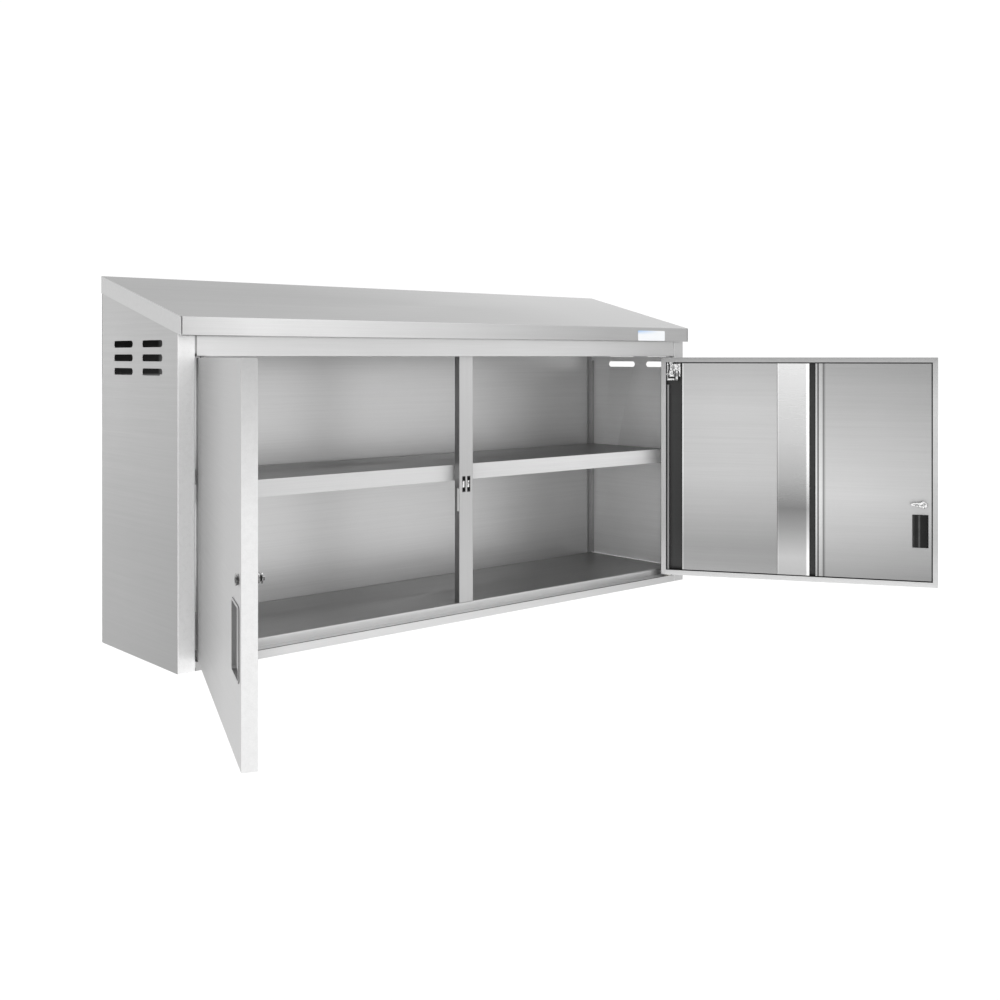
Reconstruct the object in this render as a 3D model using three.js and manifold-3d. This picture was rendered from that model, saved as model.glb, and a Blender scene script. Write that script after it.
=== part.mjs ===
// Wall-hung stainless cabinet with a sloped roof, two hinged doors and one mid shelf.
// Millimetres, +Z up. While it is designed, X runs from the left side face to the right one,
// Y = 0 is the front face of the stiles (+Y is towards the wall) and Z = 0 is the underside.
// The last lines move the origin to the middle of the back face.

import * as THREE from 'three';
import { mergeVertices } from 'three/addons/utils/BufferGeometryUtils.js';
import Module from 'manifold-3d';

const wasm = await Module();
wasm.setup();

// ---- driving dimensions ----------------------------------------------------------------

const WIDTH = 1524;               // 60 in, over the side panels
const DEPTH = 356;                // 14 in, stile face to wall face
const FRONT_HEIGHT = 700;         // underside to the front edge of the roof
const BACK_HEIGHT = 797;          // underside to the back edge of the roof
const SHEET = 1.2;                // stainless sheet, 18 gauge
const FIT = 0.3;                  // gap between two pieces that touch
const BEND = 2.4;                 // outside radius of a folded corner

const FASCIA_OUT = 16;            // the roof front stands this far before the stiles
const FASCIA_DROP = 37;           // depth of the roof front and of its side skirts
const SKIRT_OUT = 1.5;            // the side skirts hang this far outside the side panels

const STILE = 38;                 // width of the front flange of a side panel
const STILE_RETURN = 18;          // depth of the fold behind the stile
const DOOR_GAP = 3;               // gap between door and stile, and between the doors
const DOOR_T = 24;
const DOOR_BOTTOM = 22;
const DOOR_TOP = 619.5;
const RAIL_BOTTOM = 622;          // lower edge of the top rail
const LEDGE_TOP = 17.5;           // ledge under the doors
const LIP_Y = 31.5;               // recessed plane of the floor lip and the mullion
const FLOOR_TOP = 34.5;

const PIVOT_IN = 15;              // pivot axis, from the hinge edge of the door
const PIVOT_BACK = 9;             // pivot axis, from the outer face of the door
const LEFT_OPEN = 112.4;          // degrees the left door stands open
const RIGHT_OPEN = 122.2;

const MULLION_W = 43;
const MULLION_D = 18.5;
const SHELF_TOP = 362;
const SHELF_LIP = 38;
const SHELF_Y0 = 60;
const SHELF_Y1 = 338;

const DOOR_FRAME = 13;            // width of the frame fold on the inside of a door
const LINER_GAP = 3;
const RECESS_END = 58;            // where the inner skin starts, from the hinge edge
const STIFF_U0 = 313;             // the door stiffener, from the hinge edge
const STIFF_U1 = 396;
const FREE_U0 = 412;              // start of the inner skin on the free side

const LOCK_U = 684;               // lock axis, from the hinge edge
const LOCK_Z = { left: 295, right: 237 };
const LOCK_RIM = 4;               // how far the lock's rim stands off the door
const CAM_V = 33.3;               // front of the cam, clear behind the centre post's face
const CAM_T = 2;
const PULL_U = 654;               // middle of the pull plate
const PULL_Z = { left: 200, right: 167 };
const PULL_W = 88;
const PULL_H = 114;
const POCKET_U = 676;             // middle of the finger pocket
const POCKET_W = 34;
const POCKET_H = 80;
const DISH_W = 79;                // shallow dish stamped round the finger pocket
const DISH_H = 105;
const DISH_V = 5.5;

const VENT_LENGTH = { left: 93, right: 102 };
const VENT_START = { left: [66, 202], right: [34, 180] };
const VENT_LOW = { left: 590.5, right: 600 };
const VENT_PITCH = 28.7;
const VENT_H = { left: 14.5, right: 15.5 };

// ---- values worked out from them --------------------------------------------------------

const MID = WIDTH / 2;
const DOOR_W = MID - STILE - DOOR_GAP - DOOR_GAP / 2;
const RUN = DEPTH + FASCIA_OUT;
const SLOPE = (BACK_HEIGHT - FRONT_HEIGHT) / RUN;
const ROOF_DROP = SHEET * Math.sqrt(1 + SLOPE * SLOPE);
const BACK_Y = DEPTH - SHEET;
const FLANGE_Y = BACK_Y - FIT;
const roofTop = (y) => FRONT_HEIGHT + (y + FASCIA_OUT) * SLOPE;
const roofUnder = (y) => roofTop(y) - ROOF_DROP - FIT;

// ---- materials ---------------------------------------------------------------------------

const colours = {
  side_steel: [0xb7b7b8, 0.42, 0.9],
  front_steel: [0xd6d6d6, 0.38, 0.9],
  roof_steel: [0xc2c2c3, 0.42, 0.9],
  inner_steel: [0xaaaaab, 0.45, 0.9],
  door_steel: [0xbdbdbe, 0.4, 0.9],
  liner_steel: [0xb4b4b5, 0.38, 0.9],
  strip_steel: [0xd8d8d8, 0.25, 0.95],
  pull_grey: [0x8f8f90, 0.45, 0.8],
  chrome: [0xe6e6e8, 0.12, 1],
  black_plastic: [0x2b2b2c, 0.5, 0],
  nylon: [0xe4e2dc, 0.55, 0],
  label_white: [0xf1f5fa, 0.5, 0],
};

function finish(slot) {
  const [color, roughness, metalness] = colours[slot];
  return new THREE.MeshStandardMaterial({ name: slot, color, roughness, metalness });
}

// ---- solids ------------------------------------------------------------------------------

function toSolid(geometry) {
  const g = geometry.clone();
  g.deleteAttribute('normal');
  g.deleteAttribute('uv');
  const m = mergeVertices(g, 1e-4);
  return new wasm.Manifold(new wasm.Mesh({
    numProp: 3,
    vertProperties: new Float32Array(m.attributes.position.array),
    triVerts: new Uint32Array(m.index.array),
  }));
}

function toGeometry(solid) {
  const mesh = solid.getMesh();
  const g = new THREE.BufferGeometry();
  g.setAttribute('position', new THREE.BufferAttribute(new Float32Array(mesh.vertProperties), 3));
  g.setIndex(new THREE.BufferAttribute(new Uint32Array(mesh.triVerts), 1));
  g.computeVertexNormals();
  return g;
}

function box(x0, x1, y0, y1, z0, z1) {
  const g = new THREE.BoxGeometry(Math.abs(x1 - x0), y1 - y0, z1 - z0);
  g.translate((x0 + x1) / 2, (y0 + y1) / 2, (z0 + z1) / 2);
  return toSolid(g);
}

function outline(points) {
  const shape = new THREE.Shape(points.map(([a, b]) => new THREE.Vector2(a, b)));
  return shape;
}

function extrude(shape, length, segments = 6) {
  return new THREE.ExtrudeGeometry(shape, { depth: length, bevelEnabled: false, curveSegments: segments });
}

// Section in X,Y carried up Z.
function upright(points, z0, z1) {
  const g = extrude(outline(points), z1 - z0);
  g.translate(0, 0, z0);
  return toSolid(g);
}

// Section in Y,Z carried along X.
function along(points, x0, x1) {
  const g = extrude(outline(points), x1 - x0);
  g.applyMatrix4(new THREE.Matrix4().set(0, 0, 1, x0, 1, 0, 0, 0, 0, 1, 0, 0, 0, 0, 0, 1));
  return toSolid(g);
}

// Section in X,Z carried along Y.
function backward(shape, y0, y1, segments = 6) {
  const g = extrude(shape, y1 - y0, segments);
  g.rotateX(Math.PI / 2);
  g.translate(0, y1, 0);
  return toSolid(g);
}

function rodZ(x, y, r, z0, z1, sides = 20) {
  const g = new THREE.CylinderGeometry(r, r, z1 - z0, sides);
  g.rotateX(Math.PI / 2);
  g.translate(x, y, (z0 + z1) / 2);
  return toSolid(g);
}

function rodY(x, z, r, y0, y1, sides = 24) {
  const g = new THREE.CylinderGeometry(r, r, y1 - y0, sides);
  g.translate(x, (y0 + y1) / 2, z);
  return toSolid(g);
}

function join(...solids) {
  return solids.reduce((a, b) => a.add(b));
}

function cut(solid, ...tools) {
  return tools.reduce((a, b) => a.subtract(b), solid);
}

function roundedRect(cx, cy, w, h, r) {
  const s = new THREE.Shape();
  const x0 = cx - w / 2;
  const x1 = cx + w / 2;
  const y0 = cy - h / 2;
  const y1 = cy + h / 2;
  s.moveTo(x0 + r, y0);
  s.lineTo(x1 - r, y0);
  s.absarc(x1 - r, y0 + r, r, -Math.PI / 2, 0, false);
  s.lineTo(x1, y1 - r);
  s.absarc(x1 - r, y1 - r, r, 0, Math.PI / 2, false);
  s.lineTo(x0 + r, y1);
  s.absarc(x0 + r, y1 - r, r, Math.PI / 2, Math.PI, false);
  s.lineTo(x0, y0 + r);
  s.absarc(x0 + r, y0 + r, r, Math.PI, Math.PI * 1.5, false);
  return s;
}

// A bent sheet: its centre line, thickened, with every corner folded round.
function bentSheet(path, radius = BEND - SHEET / 2, steps = 3) {
  const line = [];
  for (let i = 0; i < path.length; i += 1) {
    const p = new THREE.Vector2(...path[i]);
    if (i === 0 || i === path.length - 1) {
      line.push(p);
      continue;
    }
    const before = new THREE.Vector2(...path[i - 1]).sub(p).normalize();
    const after = new THREE.Vector2(...path[i + 1]).sub(p).normalize();
    const half = Math.acos(THREE.MathUtils.clamp(before.dot(after), -1, 1)) / 2;
    const reach = radius / Math.tan(half);
    const from = p.clone().addScaledVector(before, reach);
    const to = p.clone().addScaledVector(after, reach);
    const bisector = before.clone().add(after).normalize();
    const centre = p.clone().addScaledVector(bisector, radius / Math.sin(half));
    const a0 = from.clone().sub(centre).angle();
    let sweep = to.clone().sub(centre).angle() - a0;
    if (sweep > Math.PI) sweep -= 2 * Math.PI;
    if (sweep < -Math.PI) sweep += 2 * Math.PI;
    for (let k = 0; k <= steps; k += 1) {
      const a = a0 + (sweep * k) / steps;
      line.push(new THREE.Vector2(centre.x + radius * Math.cos(a), centre.y + radius * Math.sin(a)));
    }
  }
  const left = [];
  const right = [];
  for (let i = 0; i < line.length; i += 1) {
    const prev = line[Math.max(0, i - 1)];
    const next = line[Math.min(line.length - 1, i + 1)];
    const d1 = line[i].clone().sub(prev).normalize();
    const d2 = next.clone().sub(line[i]).normalize();
    if (i === 0) d1.copy(d2);
    if (i === line.length - 1) d2.copy(d1);
    const d = d1.clone().add(d2).normalize();
    const t = SHEET / 2 / Math.max(0.3, d.dot(d2));
    left.push([line[i].x - d.y * t, line[i].y + d.x * t]);
    right.push([line[i].x + d.y * t, line[i].y - d.x * t]);
  }
  const ring = left.concat(right.reverse());
  const area = ring.reduce((s, p, i) => {
    const q = ring[(i + 1) % ring.length];
    return s + p[0] * q[1] - q[0] * p[1];
  }, 0);
  return area < 0 ? ring.reverse() : ring;
}

// X from the left side for the left half, mirrored for the right half.
const handed = (side) => (side === 'left' ? (x) => x : (x) => WIDTH - x);

function mirrored(side, points) {
  const hx = handed(side);
  const out = points.map(([x, y]) => [hx(x), y]);
  return side === 'left' ? out : out.reverse();
}

// ---- placing -------------------------------------------------------------------------------

const root = new THREE.Group();
root.name = 'wall_cabinet';
const carcass = new THREE.Group();
root.add(carcass);

function put(parent, name, solid, slot) {
  const mesh = new THREE.Mesh(toGeometry(solid), finish(slot));
  mesh.name = name;
  parent.add(mesh);
  return mesh;
}

// ---- carcass -------------------------------------------------------------------------------

function aboveRoof(x0, x1) {
  const y0 = -60;
  const y1 = DEPTH + 60;
  return along([[y0, roofUnder(y0)], [y1, roofUnder(y1)], [y1, 1200], [y0, 1200]], x0, x1);
}

function ventSlots(side) {
  const hx = handed(side);
  const slots = [];
  for (const start of VENT_START[side]) {
    for (let row = 0; row < 3; row += 1) {
      const z = VENT_LOW[side] + row * VENT_PITCH;
      const shape = roundedRect(-z, start + VENT_LENGTH[side] / 2, VENT_H[side], VENT_LENGTH[side], VENT_H[side] / 2 - 0.01);
      const g = extrude(shape, 12, 5);
      g.rotateY(Math.PI / 2);
      g.translate(hx(0) - 6, 0, 0);
      slots.push(toSolid(g));
    }
  }
  return slots;
}

function sidePanel(side) {
  const h = SHEET / 2;
  const section = bentSheet([
    [STILE - h, STILE_RETURN], [STILE - h, h], [h, h], [h, FLANGE_Y - h], [22, FLANGE_Y - h],
  ]);
  const blank = upright(mirrored(side, section), 0, BACK_HEIGHT);
  return cut(blank, aboveRoof(-20, WIDTH + 20), ...ventSlots(side));
}

function backPanel() {
  const sheet = box(FIT, WIDTH - FIT, BACK_Y, DEPTH, 0.5, roofUnder(BACK_Y));
  const holes = screwX().map((x) => rodY(x, 745, 5, BACK_Y - 5, DEPTH + 5, 12));
  return cut(sheet, ...holes);
}

function screwX() {
  return [150, MID - 200, MID + 200, WIDTH - 150];
}

function hangingRail() {
  const h = SHEET / 2;
  const y = FLANGE_Y - h;
  const section = bentSheet([[y, 712], [y, 727], [y - 13, 727], [y - 13, 763], [y, 763], [y, 773]]);
  const holes = screwX().map((x) => rodY(x, 745, 6, y - 20, y + 5, 12));
  return cut(along(section, 30, WIDTH - 30), ...holes);
}

function roofPanel() {
  const h = SHEET / 2;
  const x0 = -SKIRT_OUT;
  const x1 = WIDTH + SKIRT_OUT;
  const mid = (y) => roofTop(y) - ROOF_DROP / 2;
  const bottom = FRONT_HEIGHT - FASCIA_DROP;
  const front = bentSheet([
    [-FASCIA_OUT + 11, bottom + h], [-FASCIA_OUT + h, bottom + h], [-FASCIA_OUT + h, mid(-FASCIA_OUT + h)],
    [FLANGE_Y - h, mid(FLANGE_Y - h)], [FLANGE_Y - h, mid(DEPTH) - 20],
  ]);
  const seam = 1.4;
  const sheet = along(front, SHEET + seam / 2, WIDTH - SHEET - seam / 2);
  const y0 = -FASCIA_OUT;
  const top = (y) => [y, roofTop(y)];
  const under = (y) => [y, roofTop(y) - ROOF_DROP];
  const start = y0 + 1.6;
  const plate = along([under(start), under(DEPTH), top(DEPTH), top(start)], x0, x1);
  const skirtSection = [
    [y0 + 0.2, roofTop(y0) - FASCIA_DROP], [DEPTH, roofTop(DEPTH) - FASCIA_DROP],
    [DEPTH, roofTop(DEPTH) - 0.1], [y0 + 0.2, roofTop(y0) - 0.5],
  ];
  const leftSkirt = along(skirtSection, x0, x0 + SHEET);
  const rightSkirt = along(skirtSection, x1 - SHEET, x1);
  const notch = [[300, 600], [FLANGE_Y + 3, 600], under(FLANGE_Y + 3), under(300)];
  const clear = [along(notch, SHEET, 24), along(notch, WIDTH - 24, WIDTH - SHEET)];
  return cut(join(sheet, plate, leftSkirt, rightSkirt), ...clear);
}

function topRail() {
  const h = SHEET / 2;
  const back = LIP_Y - FIT - h;
  const section = bentSheet([
    [back, RAIL_BOTTOM + 16], [back, RAIL_BOTTOM + h], [h, RAIL_BOTTOM + h], [h, 690], [14, 690],
  ], 1.4);
  const blank = along(section, STILE + DOOR_GAP, WIDTH - STILE - DOOR_GAP);
  const holes = pivotX().map((x) => rodZ(x, PIVOT_BACK, 4.8, RAIL_BOTTOM - 5, RAIL_BOTTOM + 8));
  return cut(blank, ...holes);
}

function pivotX() {
  const x = STILE + DOOR_GAP + PIVOT_IN;
  return [x, WIDTH - x];
}

function railBracket(side) {
  const y = SHEET + FIT + SHEET / 2;
  const x = STILE + FIT + SHEET / 2;
  const section = bentSheet([[x, 16], [x, y], [66, y]], 1.4);
  return upright(mirrored(side, section), RAIL_BOTTOM + 6, 686);
}

function bottomPan() {
  const h = SHEET / 2;
  const inner = STILE + 4;
  const face = along([[0, 0], [SHEET, 0], [SHEET, LEDGE_TOP], [0, LEDGE_TOP]], STILE + FIT, WIDTH - STILE - FIT);
  const hem = along([[0.5, 0], [20, 0], [20, SHEET], [0.5, SHEET]], STILE + FIT, WIDTH - STILE - FIT);
  const fold = bentSheet([
    [h, LEDGE_TOP - 8], [h, LEDGE_TOP - h], [LIP_Y + h, LEDGE_TOP - h], [LIP_Y + h, FLOOR_TOP - h],
    [LIP_Y + 20, FLOOR_TOP - h],
  ], 1.2);
  const ledge = along(fold, inner, WIDTH - inner);
  const end = FLANGE_Y - SHEET - FIT;
  const floorFold = bentSheet([[LIP_Y + 8, FLOOR_TOP - h], [end - h, FLOOR_TOP - h], [end - h, 4]]);
  const floor = along(floorFold, BEND + FIT, WIDTH - BEND - FIT);
  const holes = pivotX().map((x) => rodZ(x, PIVOT_BACK, 4.8, LEDGE_TOP - 6, LEDGE_TOP + 3));
  return cut(join(face, hem, ledge, floor), ...holes);
}

function floorStiffener() {
  const h = SHEET / 2;
  const z = FLOOR_TOP - SHEET - FIT - h;
  const section = bentSheet([[165, z], [185, z], [185, 10], [235, 10], [235, z], [255, z]]);
  return along(section, 60, WIDTH - 60);
}

function mullion() {
  const h = SHEET / 2;
  const x0 = MID - MULLION_W / 2 + h;
  const x1 = MID + MULLION_W / 2 - h;
  const y0 = LIP_Y + h;
  const y1 = LIP_Y + MULLION_D - h;
  const section = bentSheet([[x0 + 7, y1], [x0, y1], [x0, y0], [x1, y0], [x1, y1], [x1 - 7, y1]], 1.4);
  const blank = upright(section, FLOOR_TOP + FIT, 660);
  const windows = catchX().map((x) => box(x - 5, x + 5, LIP_Y - 2, LIP_Y + 3, 298, 336));
  const slots = ['left', 'right'].map((side) => {
    const hx = handed(side);
    const a = hx(MID - MULLION_W / 2 - 3);
    const b = hx(MID - MULLION_W / 2 + 3);
    const z = LOCK_Z[side];
    return box(Math.min(a, b), Math.max(a, b), LIP_Y + 1.4, LIP_Y + 9.5, z - 42, z + 12);
  });
  return cut(blank, ...windows, ...slots);
}

function catchX() {
  return [MID - 7.5, MID + 7.5];
}

function catchBody(x) {
  const shell = box(x - 4.7, x + 4.7, LIP_Y + 0.3, LIP_Y + 12, 298.3, 335.7);
  const mouth = box(x - 3.4, x + 3.4, LIP_Y - 1, LIP_Y + 5.5, 300.3, 333.7);
  return cut(shell, mouth);
}

function catchMagnet(x) {
  return box(x - 3.1, x + 3.1, LIP_Y + 1.2, LIP_Y + 5.2, 309, 325);
}

function cornerStandard(side) {
  const h = 0.5;
  const x = BEND + FIT + h;
  const y = FLANGE_Y - BEND - FIT - h;
  const z0 = FLOOR_TOP + 2;
  const leg = 13;
  const blank = join(
    box(x - h, x + h, y - 9, y + h, z0, 610),
    box(x - h, x + leg, y - h, y + h, z0, 610),
  );
  const holes = [];
  for (let z = 124; z < 600; z += 50) holes.push(box(x + 6.5, x + 10, y - 4, y + 4, z - 5, z + 5));
  const solid = cut(blank, ...holes);
  return side === 'left' ? solid : mirrorX(solid);
}

function mirrorX(solid) {
  return solid.mirror([1, 0, 0]).translate([WIDTH, 0, 0]);
}

function frontStandard(side) {
  const x0 = SHEET + FIT;
  const blank = box(x0, x0 + 1, 64, 80, FLOOR_TOP + 2, 586);
  const holes = [];
  for (let z = 124; z < 580; z += 50) holes.push(box(x0 - 2, x0 + 3, 70, 74, z - 5, z + 5));
  const solid = cut(blank, ...holes);
  return side === 'left' ? solid : mirrorX(solid);
}

function shelfClip(side, end) {
  const top = SHELF_TOP - SHELF_LIP - FIT;
  const y0 = end === 'front' ? 64.5 : SHELF_Y1 - 14;
  const x0 = end === 'front' ? SHEET + 1.6 : SHEET + FIT;
  const tab = box(x0, 16, y0, y0 + 11, top - 1.6, top);
  const leg = box(x0, x0 + 1.6, y0, y0 + 11, top - 13, top);
  const rib = along([[y0 + 4.7, top - 1], [y0 + 4.7, top - 12], [y0 + 6.3, top - 12], [y0 + 6.3, top - 1]], x0, x0 + 7);
  const solid = join(tab, leg, rib);
  return side === 'left' ? solid : mirrorX(solid);
}

function fasciaLabel() {
  const shape = roundedRect(1373, 678, 108, 27, 3);
  return backward(shape, -FASCIA_OUT - 0.7, -FASCIA_OUT - 0.2);
}

function buildCarcass() {
  put(carcass, 'side_panel_left', sidePanel('left'), 'side_steel');
  put(carcass, 'side_panel_right', sidePanel('right'), 'side_steel');
  put(carcass, 'back_panel', backPanel(), 'inner_steel');
  put(carcass, 'roof_panel', roofPanel(), 'roof_steel');
  put(carcass, 'hanging_rail', hangingRail(), 'inner_steel');
  put(carcass, 'top_rail', topRail(), 'front_steel');
  put(carcass, 'top_rail_bracket_left', railBracket('left'), 'inner_steel');
  put(carcass, 'top_rail_bracket_right', railBracket('right'), 'inner_steel');
  put(carcass, 'bottom_pan', bottomPan(), 'front_steel');
  put(carcass, 'floor_stiffener', floorStiffener(), 'inner_steel');
  put(carcass, 'mullion', mullion(), 'front_steel');
  const [leftCatch, rightCatch] = catchX();
  put(carcass, 'catch_body_left', catchBody(leftCatch), 'black_plastic');
  put(carcass, 'catch_body_right', catchBody(rightCatch), 'black_plastic');
  put(carcass, 'catch_magnet_left', catchMagnet(leftCatch), 'chrome');
  put(carcass, 'catch_magnet_right', catchMagnet(rightCatch), 'chrome');
  for (const side of ['left', 'right']) {
    put(carcass, `shelf_standard_rear_${side}`, cornerStandard(side), 'inner_steel');
    put(carcass, `shelf_standard_front_${side}`, frontStandard(side), 'inner_steel');
    put(carcass, `shelf_clip_rear_${side}`, shelfClip(side, 'rear'), 'chrome');
    put(carcass, `shelf_clip_front_${side}`, shelfClip(side, 'front'), 'chrome');
  }
  put(carcass, 'fascia_label', fasciaLabel(), 'label_white');
}

// ---- mid shelf -----------------------------------------------------------------------------

function midShelf() {
  const outer = box(8, WIDTH - 8, SHELF_Y0, SHELF_Y1, SHELF_TOP - SHELF_LIP, SHELF_TOP);
  const inner = box(8 + SHEET, WIDTH - 8 - SHEET, SHELF_Y0 + SHEET, SHELF_Y1 - SHEET,
    SHELF_TOP - SHELF_LIP + SHEET, SHELF_TOP - SHEET);
  const mouth = box(8 + 14, WIDTH - 8 - 14, SHELF_Y0 + 14, SHELF_Y1 - 14,
    SHELF_TOP - SHELF_LIP - 2, SHELF_TOP - SHELF_LIP + 4);
  return cut(outer, inner, mouth);
}

function shelfStiffener() {
  const h = SHEET / 2;
  const z = SHELF_TOP - SHEET - FIT - h;
  const section = bentSheet([[165, z], [182, z], [182, z - 22], [218, z - 22], [218, z], [235, z]]);
  return along(section, 60, WIDTH - 60);
}

function buildShelf() {
  put(carcass, 'mid_shelf', midShelf(), 'front_steel');
  put(carcass, 'mid_shelf_stiffener', shelfStiffener(), 'inner_steel');
}

// ---- doors -----------------------------------------------------------------------------------
// A door is drawn closed. u runs from its hinge edge to its free edge, v from its outer face
// inwards. at(side) turns u into X, so the right door is the mirror of the left one.

function at(side) {
  const hx = handed(side);
  return (u) => hx(STILE + DOOR_GAP + u);
}

function dbox(side, u0, u1, v0, v1, z0, z1) {
  const ux = at(side);
  return box(Math.min(ux(u0), ux(u1)), Math.max(ux(u0), ux(u1)), v0, v1, z0, z1);
}

function dupright(side, points, z0, z1) {
  const ux = at(side);
  const out = points.map(([u, v]) => [ux(u), v]);
  return upright(side === 'left' ? out : out.reverse(), z0, z1);
}

function dplate(side, u, z, w, h, r, v0, v1) {
  return backward(roundedRect(at(side)(u), z, w, h, r), v0, v1, 5);
}

function doorSkin(side) {
  const ux = at(side);
  const L = DOOR_W;
  const f = DOOR_FRAME;
  const outer = dbox(side, 0, L, 0, DOOR_T, DOOR_BOTTOM, DOOR_TOP);
  const cavity = dbox(side, SHEET, L - SHEET, SHEET, DOOR_T - SHEET, DOOR_BOTTOM + SHEET, DOOR_TOP - SHEET);
  const mouth = dbox(side, f, L - f, DOOR_T - 4, DOOR_T + 2, DOOR_BOTTOM + f, DOOR_TOP - f);
  const pullHole = dplate(side, PULL_U, PULL_Z[side], DISH_W + 4, DISH_H + 4, 7, -2, 4);
  const lockHole = rodY(ux(LOCK_U), LOCK_Z[side], 8.2, -2, 4);
  const topHole = rodZ(ux(PIVOT_IN), PIVOT_BACK, 4.6, DOOR_TOP - 4, DOOR_TOP + 4);
  const lowHole = rodZ(ux(PIVOT_IN), PIVOT_BACK, 4.6, DOOR_BOTTOM - 4, DOOR_BOTTOM + 4);
  return cut(outer, cavity, mouth, pullHole, lockHole, topHole, lowHole, ...mitres(side));
}

// The open seam where two frame folds meet at 45 degrees, one at each corner.
function mitres(side) {
  const ux = at(side);
  const f = DOOR_FRAME + 1;
  const seams = [];
  for (const [u, du] of [[0, 1], [DOOR_W, -1]]) {
    for (const [z, dz] of [[DOOR_BOTTOM, 1], [DOOR_TOP, -1]]) {
      const v0 = DOOR_T - 0.6;
      const outer = rodY(ux(u - du), z - dz, 0.8, v0, DOOR_T + 1, 4);
      const inner = rodY(ux(u + du * f), z + dz * f, 0.8, v0, DOOR_T + 1, 4);
      seams.push(wasm.Manifold.hull([outer, inner]));
    }
  }
  return seams;
}

const LINER_Z0 = DOOR_BOTTOM + DOOR_FRAME + LINER_GAP;
const LINER_Z1 = DOOR_TOP - DOOR_FRAME - LINER_GAP;

// A shallow inward-facing tray: a plate with its four edges folded into the door.
function tray(side, u0, u1, v0, v1) {
  const plate = dbox(side, u0, u1, v0, v1, LINER_Z0, LINER_Z1);
  const hollow = dbox(side, u0 + SHEET, u1 - SHEET, v0 - 2, v1 - SHEET, LINER_Z0 + SHEET, LINER_Z1 - SHEET);
  return cut(plate, hollow);
}

function hingeLiner(side) {
  return tray(side, RECESS_END, STIFF_U0 - 0.6, 10, DOOR_T);
}

function doorStiffener(side) {
  return tray(side, STIFF_U0, STIFF_U1, 4, DOOR_T + 1.6);
}

function freeLiner(side) {
  const end = DOOR_W - DOOR_FRAME - LINER_GAP;
  const sheet = tray(side, FREE_U0, end, 10, DOOR_T - 1.2);
  const bead = dbox(side, FREE_U0, FREE_U0 + 5, 14, DOOR_T + 0.2, LINER_Z0, LINER_Z1);
  const hem = dbox(side, FREE_U0 + 7.5, FREE_U0 + 19, DOOR_T - 2, DOOR_T + 0.2, LINER_Z0, LINER_Z1);
  const cup = dplate(side, POCKET_U, PULL_Z[side], POCKET_W + 6, POCKET_H + 6, 0.8, 8, DOOR_T + 3);
  const lock = rodY(at(side)(LOCK_U), LOCK_Z[side], 8.2, 8, DOOR_T + 3);
  return cut(join(sheet, bead, hem), cup, lock);
}

function hingeStrip(side) {
  const section = bentSheet([[20.5, 2.2], [20.5, 19.5], [15.8, 19.5]], 1.2);
  return dupright(side, section, LINER_Z0 - 2, DOOR_TOP - 75);
}

function pullPlate(side) {
  const z = PULL_Z[side];
  const plate = dplate(side, PULL_U, z, PULL_W, PULL_H, 9, -1.6, -FIT);
  const outer = dplate(side, PULL_U, z, DISH_W + 2.4, DISH_H + 2.4, 6, -1, DISH_V + 1.2);
  const dish = dplate(side, PULL_U, z, DISH_W, DISH_H, 5, -4, DISH_V);
  const tub = dplate(side, POCKET_U, z, POCKET_W, POCKET_H, 3, DISH_V, 18);
  const pocket = dplate(side, POCKET_U, z, POCKET_W - 2.4, POCKET_H - 2.4, 2, -4, 16.8);
  return cut(join(plate, outer, tub), dish, pocket);
}

function pullHousing(side) {
  const z = PULL_Z[side];
  const u0 = POCKET_U - POCKET_W / 2 - 2;
  const u1 = POCKET_U + POCKET_W / 2 + 2;
  const v0 = DISH_V + 1.2 + FIT;
  const profile = [[u0, v0], [u1, v0], [u1, 24.5]];
  for (let k = 1; k < 8; k += 1) {
    const a = (Math.PI * k) / 8;
    profile.push([(u0 + u1) / 2 + ((u1 - u0) / 2) * Math.cos(a), 24.5 + 5 * Math.sin(a)]);
  }
  profile.push([u0, 24.5]);
  const block = dupright(side, profile, z - POCKET_H / 2 - 2, z + POCKET_H / 2 + 2);
  const hollow = dplate(side, POCKET_U, z, POCKET_W + 0.8, POCKET_H + 0.8, 3.2, -2, 18.4);
  return cut(block, hollow);
}

function lockHousing(side) {
  const x = at(side)(LOCK_U);
  const z = LOCK_Z[side];
  const rim = new THREE.CylinderGeometry(9.4, 8, LOCK_RIM, 24);
  rim.rotateX(Math.PI);
  rim.translate(x, -FIT - LOCK_RIM / 2, z);
  const barrel = rodY(x, z, 7.6, -0.5, 31);
  return cut(join(toSolid(rim), barrel), rodY(x, z, 5.3, -LOCK_RIM - 2, 32));
}

function lockNut(side) {
  const x = at(side)(LOCK_U);
  const z = LOCK_Z[side];
  return cut(rodY(x, z, 11.5, DOOR_T + FIT, DOOR_T + 4.3, 6), rodY(x, z, 8, DOOR_T - 2, DOOR_T + 8));
}

function lockPlug(side) {
  const x = at(side)(LOCK_U);
  const z = LOCK_Z[side];
  const keyway = box(x - 1, x + 1, -LOCK_RIM - 2, 1, z - 3, z + 3);
  return cut(rodY(x, z, 5, -LOCK_RIM + 0.6, CAM_V - FIT), keyway);
}

function lockCam(side) {
  const ux = at(side);
  const x = ux(LOCK_U);
  const z = LOCK_Z[side];
  const y1 = CAM_V + CAM_T;
  const hub = rodY(x, z, 8.5, CAM_V, y1, 20);
  const tip = rodY(ux(LOCK_U - 28), z + 0.8, 3.6, CAM_V, y1, 14);
  const neck = rodY(ux(LOCK_U - 12), z + 0.5, 5.2, CAM_V, y1, 16);
  return join(wasm.Manifold.hull([hub, neck]), wasm.Manifold.hull([neck, tip]));
}

function camScrew(side) {
  const x = at(side)(LOCK_U);
  const y0 = CAM_V + CAM_T + FIT;
  return rodY(x, LOCK_Z[side], 4.2, y0, y0 + 2.8, 6);
}

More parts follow.
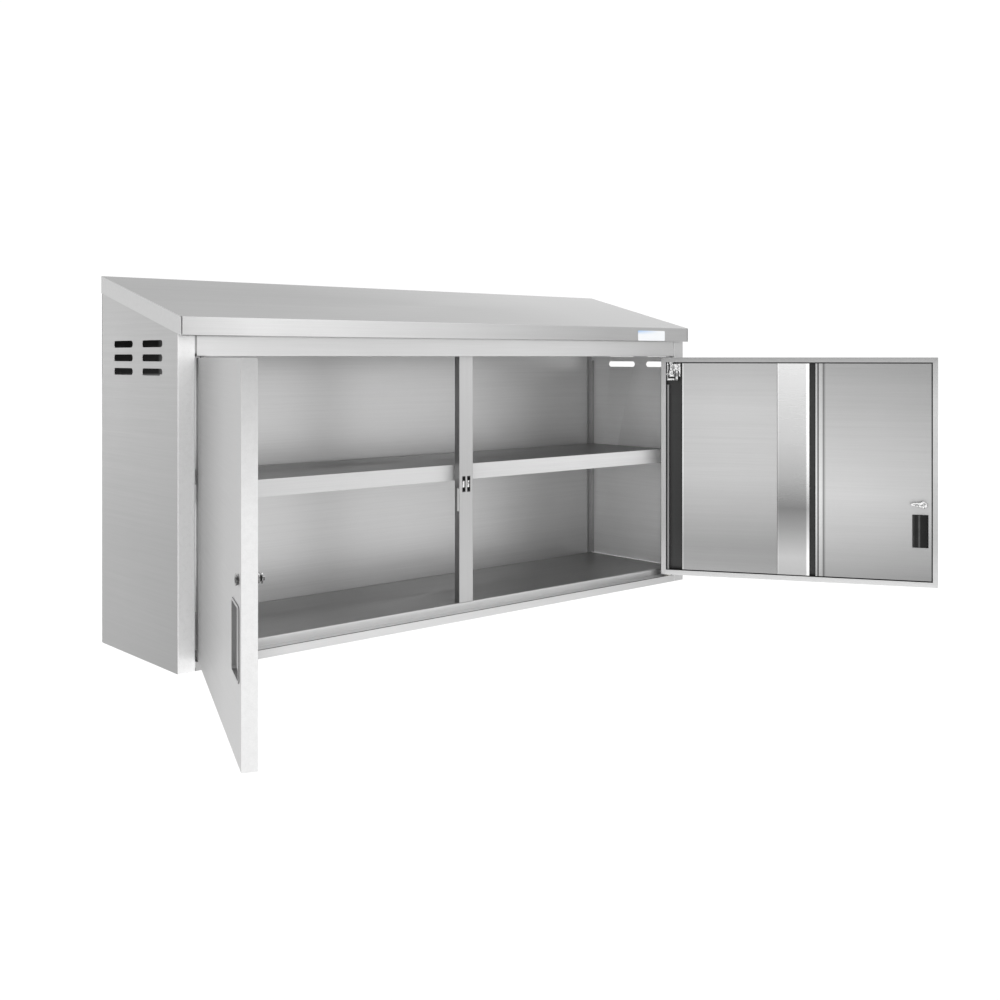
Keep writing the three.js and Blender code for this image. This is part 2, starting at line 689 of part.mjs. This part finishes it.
function pivotBracket(side) {
  const top = DOOR_TOP - 3;
  const low = top - 50;
  const plate = dbox(side, 4, 50, 1.5, 3.1, low, top);
  const ears = [[top - 2.4, top], [low + 6, low + 8.4]].map(([a, b]) => dbox(side, 4, 32, 1.5, 21, a, b));
  const wall = dbox(side, 30, 32, 1.5, 21, low + 6, top);
  const x = at(side)(PIVOT_IN);
  return cut(join(plate, ...ears, wall), rodZ(x, PIVOT_BACK, 4.5, low - 4, top + 4));
}

function releasePin(side) {
  const x = at(side)(PIVOT_IN);
  const top = DOOR_TOP - 3;
  const shaft = rodZ(x, PIVOT_BACK, 3.8, top - 60, RAIL_BOTTOM + 8);
  const collar = rodZ(x, PIVOT_BACK, 5.5, top - 32, top - 14);
  const arm = dbox(side, 12, 44, PIVOT_BACK - 3, PIVOT_BACK + 3, top - 60, top - 55);
  const knob = rodZ(at(side)(41), PIVOT_BACK + 3, 6.2, top - 60, top - 34);
  return join(shaft, collar, arm, knob);
}

function bottomPin(side) {
  const x = at(side)(PIVOT_IN);
  const flange = dbox(side, 3, 29, 1.8, 19, DOOR_BOTTOM + SHEET + FIT, DOOR_BOTTOM + SHEET + FIT + 3);
  return join(flange, rodZ(x, PIVOT_BACK, 3.8, 11, DOOR_BOTTOM + 4));
}

function pivotWasher(side) {
  const x = at(side)(PIVOT_IN);
  const z0 = LEDGE_TOP + FIT;
  return cut(rodZ(x, PIVOT_BACK, 8.6, z0, DOOR_BOTTOM - FIT), rodZ(x, PIVOT_BACK, 4.6, z0 - 2, DOOR_BOTTOM + 2));
}

function buildDoor(side) {
  const hinge = new THREE.Group();
  const px = at(side)(PIVOT_IN);
  const parts = new THREE.Group();
  parts.position.set(-px, -PIVOT_BACK, 0);
  hinge.position.set(px, PIVOT_BACK, 0);
  hinge.rotation.z = THREE.MathUtils.degToRad(side === 'left' ? -LEFT_OPEN : RIGHT_OPEN);
  hinge.add(parts);
  root.add(hinge);
  put(parts, `${side}_door_skin`, doorSkin(side), 'door_steel');
  put(parts, `${side}_door_liner_hinge_side`, hingeLiner(side), 'liner_steel');
  put(parts, `${side}_door_liner_free_side`, freeLiner(side), 'liner_steel');
  put(parts, `${side}_door_stiffener`, doorStiffener(side), 'strip_steel');
  put(parts, `${side}_door_hinge_strip`, hingeStrip(side), 'liner_steel');
  put(parts, `${side}_pull_plate`, pullPlate(side), 'pull_grey');
  put(parts, `${side}_pull_housing`, pullHousing(side), 'black_plastic');
  put(parts, `${side}_lock_housing`, lockHousing(side), 'chrome');
  put(parts, `${side}_lock_nut`, lockNut(side), 'chrome');
  put(parts, `${side}_lock_plug`, lockPlug(side), 'chrome');
  put(parts, `${side}_lock_cam`, lockCam(side), 'chrome');
  put(parts, `${side}_cam_screw`, camScrew(side), 'chrome');
  put(parts, `${side}_pivot_bracket`, pivotBracket(side), 'chrome');
  put(parts, `${side}_release_pin`, releasePin(side), 'chrome');
  put(parts, `${side}_bottom_pivot_pin`, bottomPin(side), 'chrome');
  put(carcass, `${side}_pivot_washer`, pivotWasher(side), 'nylon');
}

// ---- whole object --------------------------------------------------------------------------

buildCarcass();
buildShelf();
buildDoor('left');
buildDoor('right');
root.position.set(-MID, -DEPTH, -BACK_HEIGHT / 2);

export default root;
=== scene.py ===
import math

import bpy
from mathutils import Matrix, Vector

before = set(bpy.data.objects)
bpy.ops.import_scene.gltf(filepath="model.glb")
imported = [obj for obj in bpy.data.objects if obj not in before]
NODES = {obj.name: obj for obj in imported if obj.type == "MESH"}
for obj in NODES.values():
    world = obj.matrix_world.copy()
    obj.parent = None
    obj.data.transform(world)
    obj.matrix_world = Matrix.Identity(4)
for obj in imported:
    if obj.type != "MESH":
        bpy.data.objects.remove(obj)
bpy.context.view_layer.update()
SCENE = bpy.context.scene

# The drawing's own corner (left side face, stile face, underside) in the frame, in metres.
CORNER = Vector((-0.762, -0.356, -0.3985))
# How far each door is turned at rest, and its pivot's place from the corner.
DOOR_TURN = {"left": math.radians(112.4), "right": -math.radians(122.2)}
DOOR_PIVOT = {"left": Vector((0.056, 0.009, 0)), "right": Vector((1.468, 0.009, 0))}
PIVOT_INSET = (0.015, 0.009, 0)      # from the hinge edge and the outer face

MATTE_METALLIC = 0.1


# ---- node helpers ---------------------------------------------------------------------------

def fill_ramp(ramp, stops):
    """Greys on a Color Ramp, from (position, level) stops."""
    elements = ramp.color_ramp.elements
    while len(elements) < len(stops):
        elements.new(0.5)
    for element, (position, level) in zip(elements, stops):
        element.position = position
        element.color = (level, level, level, 1)


class Tree:
    """A short way to build one material's node tree.

    Its place is in metres from the drawing's corner, or on a door (u, v, z):
    u from the hinge edge, v from the outer face inwards, z from the underside.
    """

    def __init__(self, name, door=None):
        self.material = bpy.data.materials.new(name)
        self.material.use_nodes = True
        self.nodes = self.material.node_tree.nodes
        self.links = self.material.node_tree.links
        self.shader = next(n for n in self.nodes if n.type == "BSDF_PRINCIPLED")
        coords = self.add("ShaderNodeTexCoord")
        if door is None:
            self.place = self.moved(coords.outputs["Object"], location=-CORNER)
            self.normal = coords.outputs["Normal"]
            return
        sign = 1 if door == "left" else -1
        turn = DOOR_TURN[door]
        at_pivot = self.moved(coords.outputs["Object"], location=-(CORNER + DOOR_PIVOT[door]))
        closed = self.moved(at_pivot, turn=turn)
        self.place = self.moved(closed, location=PIVOT_INSET, scale=(sign, 1, 1))
        straight = self.moved(coords.outputs["Normal"], turn=turn)
        self.normal = self.moved(straight, scale=(sign, 1, 1))

    def add(self, kind, **values):
        node = self.nodes.new(kind)
        for key, value in values.items():
            setattr(node, key, value)
        return node

    def link(self, output, socket):
        """Links an output to a socket, given itself or by its name on the shader."""
        if isinstance(socket, str):
            socket = self.shader.inputs[socket]
        self.links.new(output, socket)

    def feed(self, socket, value):
        """Gives a socket a number, or links an output to it."""
        if isinstance(value, (int, float)):
            socket.default_value = value
        else:
            self.link(value, socket)

    def put(self, socket, value):
        self.shader.inputs[socket].default_value = value

    def moved(self, vector, location=(0, 0, 0), turn=0.0, scale=(1, 1, 1)):
        node = self.add("ShaderNodeMapping")
        node.inputs["Location"].default_value = location
        node.inputs["Rotation"].default_value = (0, 0, turn)
        node.inputs["Scale"].default_value = scale
        self.link(vector, node.inputs["Vector"])
        return node.outputs["Vector"]

    def noise(self, scale, detail=2.0, roughness=0.5):
        node = self.add("ShaderNodeTexNoise")
        node.inputs["Scale"].default_value = 1.0
        node.inputs["Detail"].default_value = detail
        node.inputs["Roughness"].default_value = roughness
        if isinstance(scale, (int, float)):
            scale = (scale, scale, scale)
        self.link(self.moved(self.place, scale=scale), node.inputs["Vector"])
        return node.outputs["Fac"]

    def ranged(self, value, low, high, from_low=0.3, from_high=0.7):
        node = self.add("ShaderNodeMapRange")
        node.inputs["From Min"].default_value = from_low
        node.inputs["From Max"].default_value = from_high
        node.inputs["To Min"].default_value = low
        node.inputs["To Max"].default_value = high
        self.link(value, node.inputs["Value"])
        return node.outputs["Result"]

    def math(self, operation, a, b):
        node = self.add("ShaderNodeMath", operation=operation)
        for socket, value in zip(node.inputs, (a, b)):
            self.feed(socket, value)
        return node.outputs["Value"]

    def product(self, values):
        result = values[0]
        for value in values[1:]:
            result = self.math("MULTIPLY", result, value)
        return result

    def part(self, vector, axis):
        node = self.add("ShaderNodeSeparateXYZ")
        self.link(vector, node.inputs["Vector"])
        return node.outputs[axis]

    def mixed(self, factor, a, b):
        """A number between a and b."""
        node = self.add("ShaderNodeMix", data_type="FLOAT")
        for index, value in ((0, factor), (2, a), (3, b)):
            self.feed(node.inputs[index], value)
        return node.outputs[0]

    def tint(self, factor, dark, light):
        """A colour between dark and light."""
        node = self.add("ShaderNodeMix", data_type="RGBA")
        node.inputs[6].default_value = (*dark, 1)
        node.inputs[7].default_value = (*light, 1)
        self.link(factor, node.inputs[0])
        return node.outputs[2]

    def along(self, axis, stops):
        """A level that changes along an axis (X, Y, Z; on a door u, v, z), by (mm, level) stops."""
        low, high = stops[0][0], stops[-1][0]
        place = self.ranged(self.part(self.place, axis), 0, 1, low / 1000, high / 1000)
        peak = max(1.0, *(level for _, level in stops))
        ramp = self.add("ShaderNodeValToRGB")
        fill_ramp(ramp, [((at - low) / (high - low), level / peak) for at, level in stops])
        self.link(place, ramp.inputs["Fac"])
        value = self.part(ramp.outputs["Color"], "X")
        return value if peak == 1.0 else self.math("MULTIPLY", value, peak)

    def facing(self, side):
        """1 where the surface looks along side, such as "Y-", and 0 elsewhere."""
        sign = -1 if side[1] == "-" else 1
        return self.ranged(self.part(self.normal, side[0]), 0, 1, sign * 0.6, sign * 0.8)

    def bump(self, height, strength, distance):
        node = self.add("ShaderNodeBump")
        node.inputs["Strength"].default_value = strength
        node.inputs["Distance"].default_value = distance
        self.link(height, node.inputs["Height"])
        self.link(node.outputs["Normal"], "Normal")


# ---- materials ------------------------------------------------------------------------------

def side_level(t, made, in_vents):
    """One side's level, painted light and shade: a number, or levels along axes, multiplied;
    with painted shade where it shows through the vents.
    """
    if isinstance(made, (int, float)):
        return made
    level = t.product([t.along(*made[k:k + 2]) for k in range(0, len(made), 2)])
    if in_vents:
        across, up = PAINTED_SHADE_BEHIND_VENTS
        level = t.math("MULTIPLY", level, t.math("MAXIMUM", t.along(*across), t.along(*up)))
    return level


def brushed(name, level, brush, rough=0.36, door=None, variation=0.05, metal=0.82,
            relief=0.12, matte=None, shaded=(), **sides):
    """Brushed stainless sheet. brush is the axis, 0 to 2, that its lines run along.

    sides gives the level of the faces that look one way, as painted light and shade for how each
    face is lit: Yn=("X", [(mm, level), ...]) is for those towards -Y. The side named matte is
    nearly unmetallic, and the sides in shaded get painted shade where they show through the left
    vents.
    """
    t = Tree(name, door)
    fine = [520.0, 520.0, 520.0]
    fine[brush] = 5.0
    coarse = [110.0, 110.0, 110.0]
    coarse[brush] = 1.6
    lines = t.noise(tuple(fine), 3.0, 0.6)
    bands = t.noise(tuple(coarse), 2.0, 0.5)
    clouds = t.noise(3.2, 3.0, 0.55)
    streak = t.math("ADD", t.math("MULTIPLY", lines, 0.55), t.math("MULTIPLY", bands, 0.45))
    tone = t.math("ADD", t.math("MULTIPLY", streak, 0.7), t.math("MULTIPLY", clouds, 0.3))
    # Each listed side gets its own level: painted light and shade by the way the face looks.
    value = level
    for key, made in sides.items():
        side = key[0] + ("-" if key[1] == "n" else "+")
        value = t.mixed(t.facing(side), value, side_level(t, made, side in shaded))
    spread = t.ranged(tone, 1 - variation, 1 + variation, 0.36, 0.64)
    t.link(t.math("MULTIPLY", spread, value), "Base Color")
    t.link(t.ranged(tone, rough - 0.05, rough + 0.06, 0.36, 0.64), "Roughness")
    t.put("Metallic", metal)
    if matte:
        t.link(t.mixed(t.facing(matte), metal, MATTE_METALLIC), "Metallic")
    t.put("Anisotropic", 0.4)
    t.bump(streak, relief, 0.0003)
    return t.material


def chrome(name, level=0.86, rough=0.10, door=None):
    """Polished chrome with painted reflection: dark below, bright on top by facing, and rippled."""
    t = Tree(name, door)
    smudge = t.noise(70, 3.0, 0.6)
    reflection_ripple = t.noise(260, 1.0, 0.4)
    value = level
    for side, share in CHROME_PAINTED_REFLECTION:
        value = t.mixed(t.facing(side), value, level * share)
    # Painted reflection: a ripple of darker streaks across the chrome.
    value = t.math("MULTIPLY", value, t.ranged(reflection_ripple, 0.35, 1.0, 0.43, 0.53))
    t.link(value, "Base Color")
    t.link(t.ranged(smudge, rough - 0.03, rough + 0.08), "Roughness")
    t.put("Metallic", 1.0)
    t.bump(smudge, 0.04, 0.0003)
    return t.material


def plastic(name, rough, colours=None, tone=None, grain=1400.0, door=None, gloss=0.45):
    """Moulded plastic, between a dark and a light colour, or with levels along one axis
    (painted shade and a painted highlight, on the pull cup).
    """
    t = Tree(name, door)
    cells = t.noise(grain, 2.0, 0.6)
    wear = t.noise(45, 3.0, 0.6)
    if tone:
        colour = t.math("MULTIPLY", t.along(*tone), t.ranged(wear, 0.8, 1.2))
    else:
        colour = t.tint(wear, *colours)
    t.link(colour, "Base Color")
    t.link(t.ranged(wear, rough - 0.06, rough + 0.08), "Roughness")
    t.put("Specular IOR Level", gloss)
    t.bump(cells, 0.15, 0.0002)
    return t.material


def label(name):
    """A blank sticker: white, with a pale blue band fading from its left end and no print."""
    t = Tree(name)
    across = t.along("X", LABEL_SPAN)
    up = t.along("Z", LABEL_RISE)
    band = t.math("MULTIPLY", t.ranged(up, 0, 1, 0.62, 0.95), t.ranged(across, 1, 0, 0.05, 0.75))
    paper = t.noise(500, 2.0, 0.5)
    blue = t.tint(band, (0.88, 0.90, 0.92), (0.40, 0.58, 0.86))
    t.link(blue, "Base Color")
    t.link(t.ranged(paper, 0.35, 0.5), "Roughness")
    t.bump(paper, 0.05, 0.0001)
    return t.material


def paint(material, *names):
    for name in names:
        slots = NODES[name].data.materials
        slots.clear()
        slots.append(material)


# Painted light and shade over the sheets, as (mm, level) stops along an axis: lighter and darker
# bands that stand in for how each sheet is lit and what it reflects. X, Y and Z are from the
# drawing's corner; on a door X is from the hinge edge and Y from the outer face inwards.
FASCIA = ("X", [(0, 0.62), (150, 0.76), (350, 0.73), (600, 0.63), (900, 0.53), (1200, 0.43),
                (1524, 0.40)])
ROOF = ("X", [(0, 0.30), (400, 0.315), (800, 0.385), (1200, 0.46), (1524, 0.48)])
UNDER_ROOF = ("X", [(0, 0.45), (1524, 0.50)])
RAIL = ("X", [(40, 0.73), (200, 0.66), (450, 0.63), (900, 0.66), (1150, 0.64), (1300, 0.58),
              (1480, 0.48)])
# Painted shadow of the open left door at the pan's left end.
PAN = ("X", [(40, 0.42), (250, 0.66), (700, 0.66), (1100, 0.60), (1300, 0.55), (1480, 0.48)])
# Painted shade: dark lines in the creases behind the lip and at the ledge's back, and a dark floor
# top in place of the shade and reflection inside.
LEDGE_PAINTED_SHADE = ("Y", [(0.5, 0.72), (1.4, 0.10), (6, 0.10), (7, 0.78), (29, 0.66), (31, 0.50),
               (33, 0.62), (36, 0.30), (340, 0.25)])
SIDE = ("Z", [(0, 0.35), (240, 0.37), (400, 0.42), (600, 0.47)],
        "Y", [(0, 0.96), (356, 1.06)])
POST = ("Z", [(30, 0.50), (350, 0.50), (650, 0.60)])
SHELF = ("X", [(8, 0.63), (900, 0.66), (1200, 0.72), (1516, 0.80)])
BACK = ("X", [(0, 0.68), (760, 0.66), (1524, 0.70)])
# Painted shade: near black in the upper left corner, where the back panel and the roof's underside
# show through the left vents.
PAINTED_SHADE_BEHIND_VENTS = (("X", [(0, 0.02), (130, 0.03), (150, 0.5), (180, 1.0)]),
                ("Z", [(562, 1.0), (576, 0.5), (585, 0.0), (797, 0.0)]))

# Painted reflection: lighter right at the hinge edge, darkest just beside it, then lighter towards
# the free edge.
DOOR_FACE = ("X", [(0, 0.55), (60, 0.33), (100, 0.29), (200, 0.31), (350, 0.39), (500, 0.45),
                   (720, 0.47)])
DOOR_EDGE = ("Z", [(22, 0.79), (380, 0.78), (480, 0.68), (619, 0.48)])
# Painted shade: the skin's inside is dark within the recess (Y below 20 mm); the Z stops are
# painted light and shade up the frame.
DOOR_FRAME = ("Z", [(22, 0.70), (35, 0.62), (150, 0.50), (350, 0.58), (500, 0.60),
                    (606, 0.46), (619, 0.38)],
              "Y", [(2, 0.10), (20, 0.10), (22, 1.0)])
# Painted highlight on the liner's hinge-side edge (X 58 to 61 mm).
HINGE_LINER = ("Z", [(38, 0.40), (60, 0.37), (110, 0.36), (200, 0.48), (300, 0.61),
                     (480, 0.64), (606, 0.52)],
               "X", [(58, 1.6), (60.5, 1.6), (62, 1.04), (313, 0.93)])
# Painted highlights and shade lines on the bead and the hem (X 412 to 438 mm).
FREE_LINER = ("Z", [(38, 0.34), (150, 0.50), (260, 0.61), (400, 0.54), (540, 0.44),
                    (606, 0.38)],
              "X", [(412, 1.3), (416, 1.3), (417, 0.25), (420, 0.25), (421, 1.35), (430, 1.2),
                    (431, 0.35), (434, 0.6), (438, 1.05), (707, 0.88)])
# Painted reflection: a dark band across the middle height; painted highlights on the left edge and
# the bend.
STRIP_PAINTED_LIGHT = ("Z", [(38, 0.49), (85, 0.55), (160, 0.34), (215, 0.22), (300, 0.44), (400, 0.60),
               (606, 0.80)],
         "X", [(313, 1.3), (317, 1.0), (387, 1.0), (390, 1.9), (396, 1.9)])
# Painted shade and a painted highlight stripe across the pull cup's rounded back.
CUP_PAINTED_SHADING = ("X", [(655, 0.05), (659, 0.05), (662, 0.010), (669, 0.012), (673, 0.10), (676, 0.010),
             (697, 0.002)])

LABEL_SPAN = [(1319, 0.0), (1427, 1.0)]
LABEL_RISE = [(664, 0.0), (692, 1.0)]
# Painted reflection on chrome, by the way each side faces, as a share of its level.
CHROME_PAINTED_REFLECTION = (("Z+", 0.95), ("Z-", 0.07), ("X+", 0.30), ("X-", 0.45), ("Y-", 0.9))


def paint_cabinet():
    # Levels per side here are painted light and shade: the left stile face (Yn) and the right
    # side's inner face painted lighter, the mullion's sides and the shelf top darker.
    paint(brushed("left side steel", 0.50, 1, variation=0.08, Xn=SIDE, Yn=1.0, Xp=0.62,
                  matte="Y-"), "side_panel_left")
    paint(brushed("right side steel", 0.50, 1, Xp=SIDE, Yn=0.50, Xn=0.92, matte="X-"),
          "side_panel_right")
    paint(brushed("back steel", 0.52, 0, Yn=BACK, shaded=("Y-",)), "back_panel")
    paint(brushed("roof steel", 0.52, 0, Yn=FASCIA, Zp=ROOF, Xn=0.56, Zn=UNDER_ROOF,
                  shaded=("Z-",)), "roof_panel")
    paint(brushed("rail steel", 0.55, 0, Yn=RAIL), "top_rail")
    paint(brushed("post steel", 0.30, 2, Yn=POST), "mullion")
    paint(brushed("pan steel", 0.55, 0, Yn=PAN, Zp=LEDGE_PAINTED_SHADE), "bottom_pan")
    paint(brushed("shelf steel", 0.55, 0, Yn=SHELF, Zp=0.24, matte="Y-"), "mid_shelf")
    paint(label("label"), "fascia_label")

    inner = brushed("inner steel", 0.50, 0)
    paint(inner, "hanging_rail", "top_rail_bracket_left", "top_rail_bracket_right")
    paint(inner, "floor_stiffener", "mid_shelf_stiffener")
    bright = chrome("chrome")
    black = plastic("black plastic", 0.42, ((0.012, 0.012, 0.013), (0.03, 0.03, 0.032)))
    nylon = plastic("nylon", 0.5, ((0.70, 0.68, 0.62), (0.78, 0.76, 0.70)))
    for side in ("left", "right"):
        paint(black, f"catch_body_{side}")
        paint(bright, f"catch_magnet_{side}")
        paint(nylon, f"{side}_pivot_washer")
        for place in ("front", "rear"):
            paint(inner, f"shelf_standard_{place}_{side}")
            paint(bright, f"shelf_clip_{place}_{side}")


def paint_door(side):
    # Levels per side here are painted light and shade, and the hinge strip and the pull plate's
    # edges are painted dark as shade in the recesses.
    paint(brushed(f"{side} door steel", 0.50, 0, door=side, Yn=DOOR_FACE, Yp=DOOR_FRAME,
                  Xp=DOOR_EDGE), f"{side}_door_skin")
    paint(brushed(f"{side} hinge liner steel", 0.50, 0, door=side, Yp=HINGE_LINER),
          f"{side}_door_liner_hinge_side")
    paint(brushed(f"{side} free liner steel", 0.50, 0, door=side, Yp=FREE_LINER),
          f"{side}_door_liner_free_side")
    paint(brushed(f"{side} strip steel", 0.80, 0, rough=0.30, door=side, variation=0.015,
                  relief=0.04, Yp=STRIP_PAINTED_LIGHT), f"{side}_door_stiffener")
    paint(brushed(f"{side} hinge strip steel", 0.24, 2, door=side, Yp=0.30),
          f"{side}_door_hinge_strip")
    paint(brushed(f"{side} pull steel", 0.26, 2, rough=0.4, door=side, Yn=0.42),
          f"{side}_pull_plate")
    paint(plastic(f"{side} cup plastic", 0.22, tone=CUP_PAINTED_SHADING, door=side, gloss=0.2),
          f"{side}_pull_housing")
    paint(chrome(f"{side} key face", 0.07, 0.35, door=side), f"{side}_lock_plug")
    paint(chrome(f"{side} cast chrome", 0.60, 0.22, door=side),
          f"{side}_cam_screw", f"{side}_lock_nut")
    polished = chrome(f"{side} chrome", door=side)
    for part in ("lock_housing", "lock_cam", "pivot_bracket", "release_pin",
                 "bottom_pivot_pin"):
        paint(polished, f"{side}_{part}")


# ---- softened edges -------------------------------------------------------------------------

EDGE_ROUND = 0.00045                 # metres
ROUNDED_FROM = math.radians(40)      # an edge sharper than this is rounded
FLAT_WITHIN = math.radians(1)        # faces closer than this are one flat face


def soften():
    """Small rounds on every folded and cut edge of the CAD nodes, apart from the thin label."""
    for name, obj in NODES.items():
        if name == "fascia_label":
            continue
        weld = obj.modifiers.new("weld", "WELD")
        weld.merge_threshold = 1e-5
        flat = obj.modifiers.new("planar", "DECIMATE")
        flat.decimate_type = "DISSOLVE"
        flat.angle_limit = FLAT_WITHIN
        bevel = obj.modifiers.new("bevel", "BEVEL")
        bevel.width = EDGE_ROUND
        bevel.segments = 2
        bevel.limit_method = "ANGLE"
        bevel.angle_limit = ROUNDED_FROM
        bevel.use_clamp_overlap = True


# ---- stage ----------------------------------------------------------------------------------

FLOOR_Z = -1.45
FLOOR_REACH = 30.0
TENT_STRENGTH = 1.03
# Brightness of the tent against a ray's upward part, from level or below (0) to straight up (1).
TENT = [(0.0, 1.0), (0.62, 1.0), (0.74, 1.45), (0.90, 1.45), (1.0, 0.7)]


def floor():
    """A plain pale floor, well below the wall-hung cabinet."""
    mesh = bpy.data.meshes.new("floor")
    corners = ((-1, -1), (1, -1), (1, 1), (-1, 1))
    mesh.from_pydata([(x * FLOOR_REACH, y * FLOOR_REACH, FLOOR_Z) for x, y in corners],
                     [], [(0, 1, 2, 3)])
    obj = bpy.data.objects.new("floor", mesh)
    SCENE.collection.objects.link(obj)
    t = Tree("floor")
    t.put("Base Color", (0.84, 0.84, 0.84, 1))
    t.put("Roughness", 0.9)
    t.put("Specular IOR Level", 0.1)
    t.put("Emission Color", (1, 1, 1, 1))
    t.put("Emission Strength", 0.10)
    mesh.materials.append(t.material)


def lights():
    """A white tent: even all round, with a brighter soft box overhead."""
    world = bpy.data.worlds.new("studio")
    SCENE.world = world
    world.use_nodes = True
    tree = world.node_tree
    background = next(n for n in tree.nodes if n.type == "BACKGROUND")
    coords = tree.nodes.new("ShaderNodeTexCoord")
    split = tree.nodes.new("ShaderNodeSeparateXYZ")
    tree.links.new(coords.outputs["Generated"], split.inputs["Vector"])
    ramp = tree.nodes.new("ShaderNodeValToRGB")
    fill_ramp(ramp, TENT)
    tree.links.new(split.outputs["Z"], ramp.inputs["Fac"])
    tree.links.new(ramp.outputs["Color"], background.inputs["Color"])
    background.inputs["Strength"].default_value = TENT_STRENGTH


def camera():
    """Level, out beyond the left end, and turned 41.5 degrees to look back along the front."""
    data = bpy.data.cameras.new("camera")
    data.sensor_width = 36
    data.lens = 43.51
    data.shift_y = -0.14336
    data.clip_start = 0.05
    data.clip_end = 200
    obj = bpy.data.objects.new("camera", data)
    obj.location = (-1.85607, -2.54399, 0.2232)
    obj.rotation_euler = (math.radians(90), 0, math.radians(-41.5))
    SCENE.collection.objects.link(obj)
    SCENE.camera = obj


paint_cabinet()
for door_side in ("left", "right"):
    paint_door(door_side)
soften()
floor()
lights()
camera()
SCENE.view_settings.view_transform = "Standard"
SCENE.view_settings.look = "None"
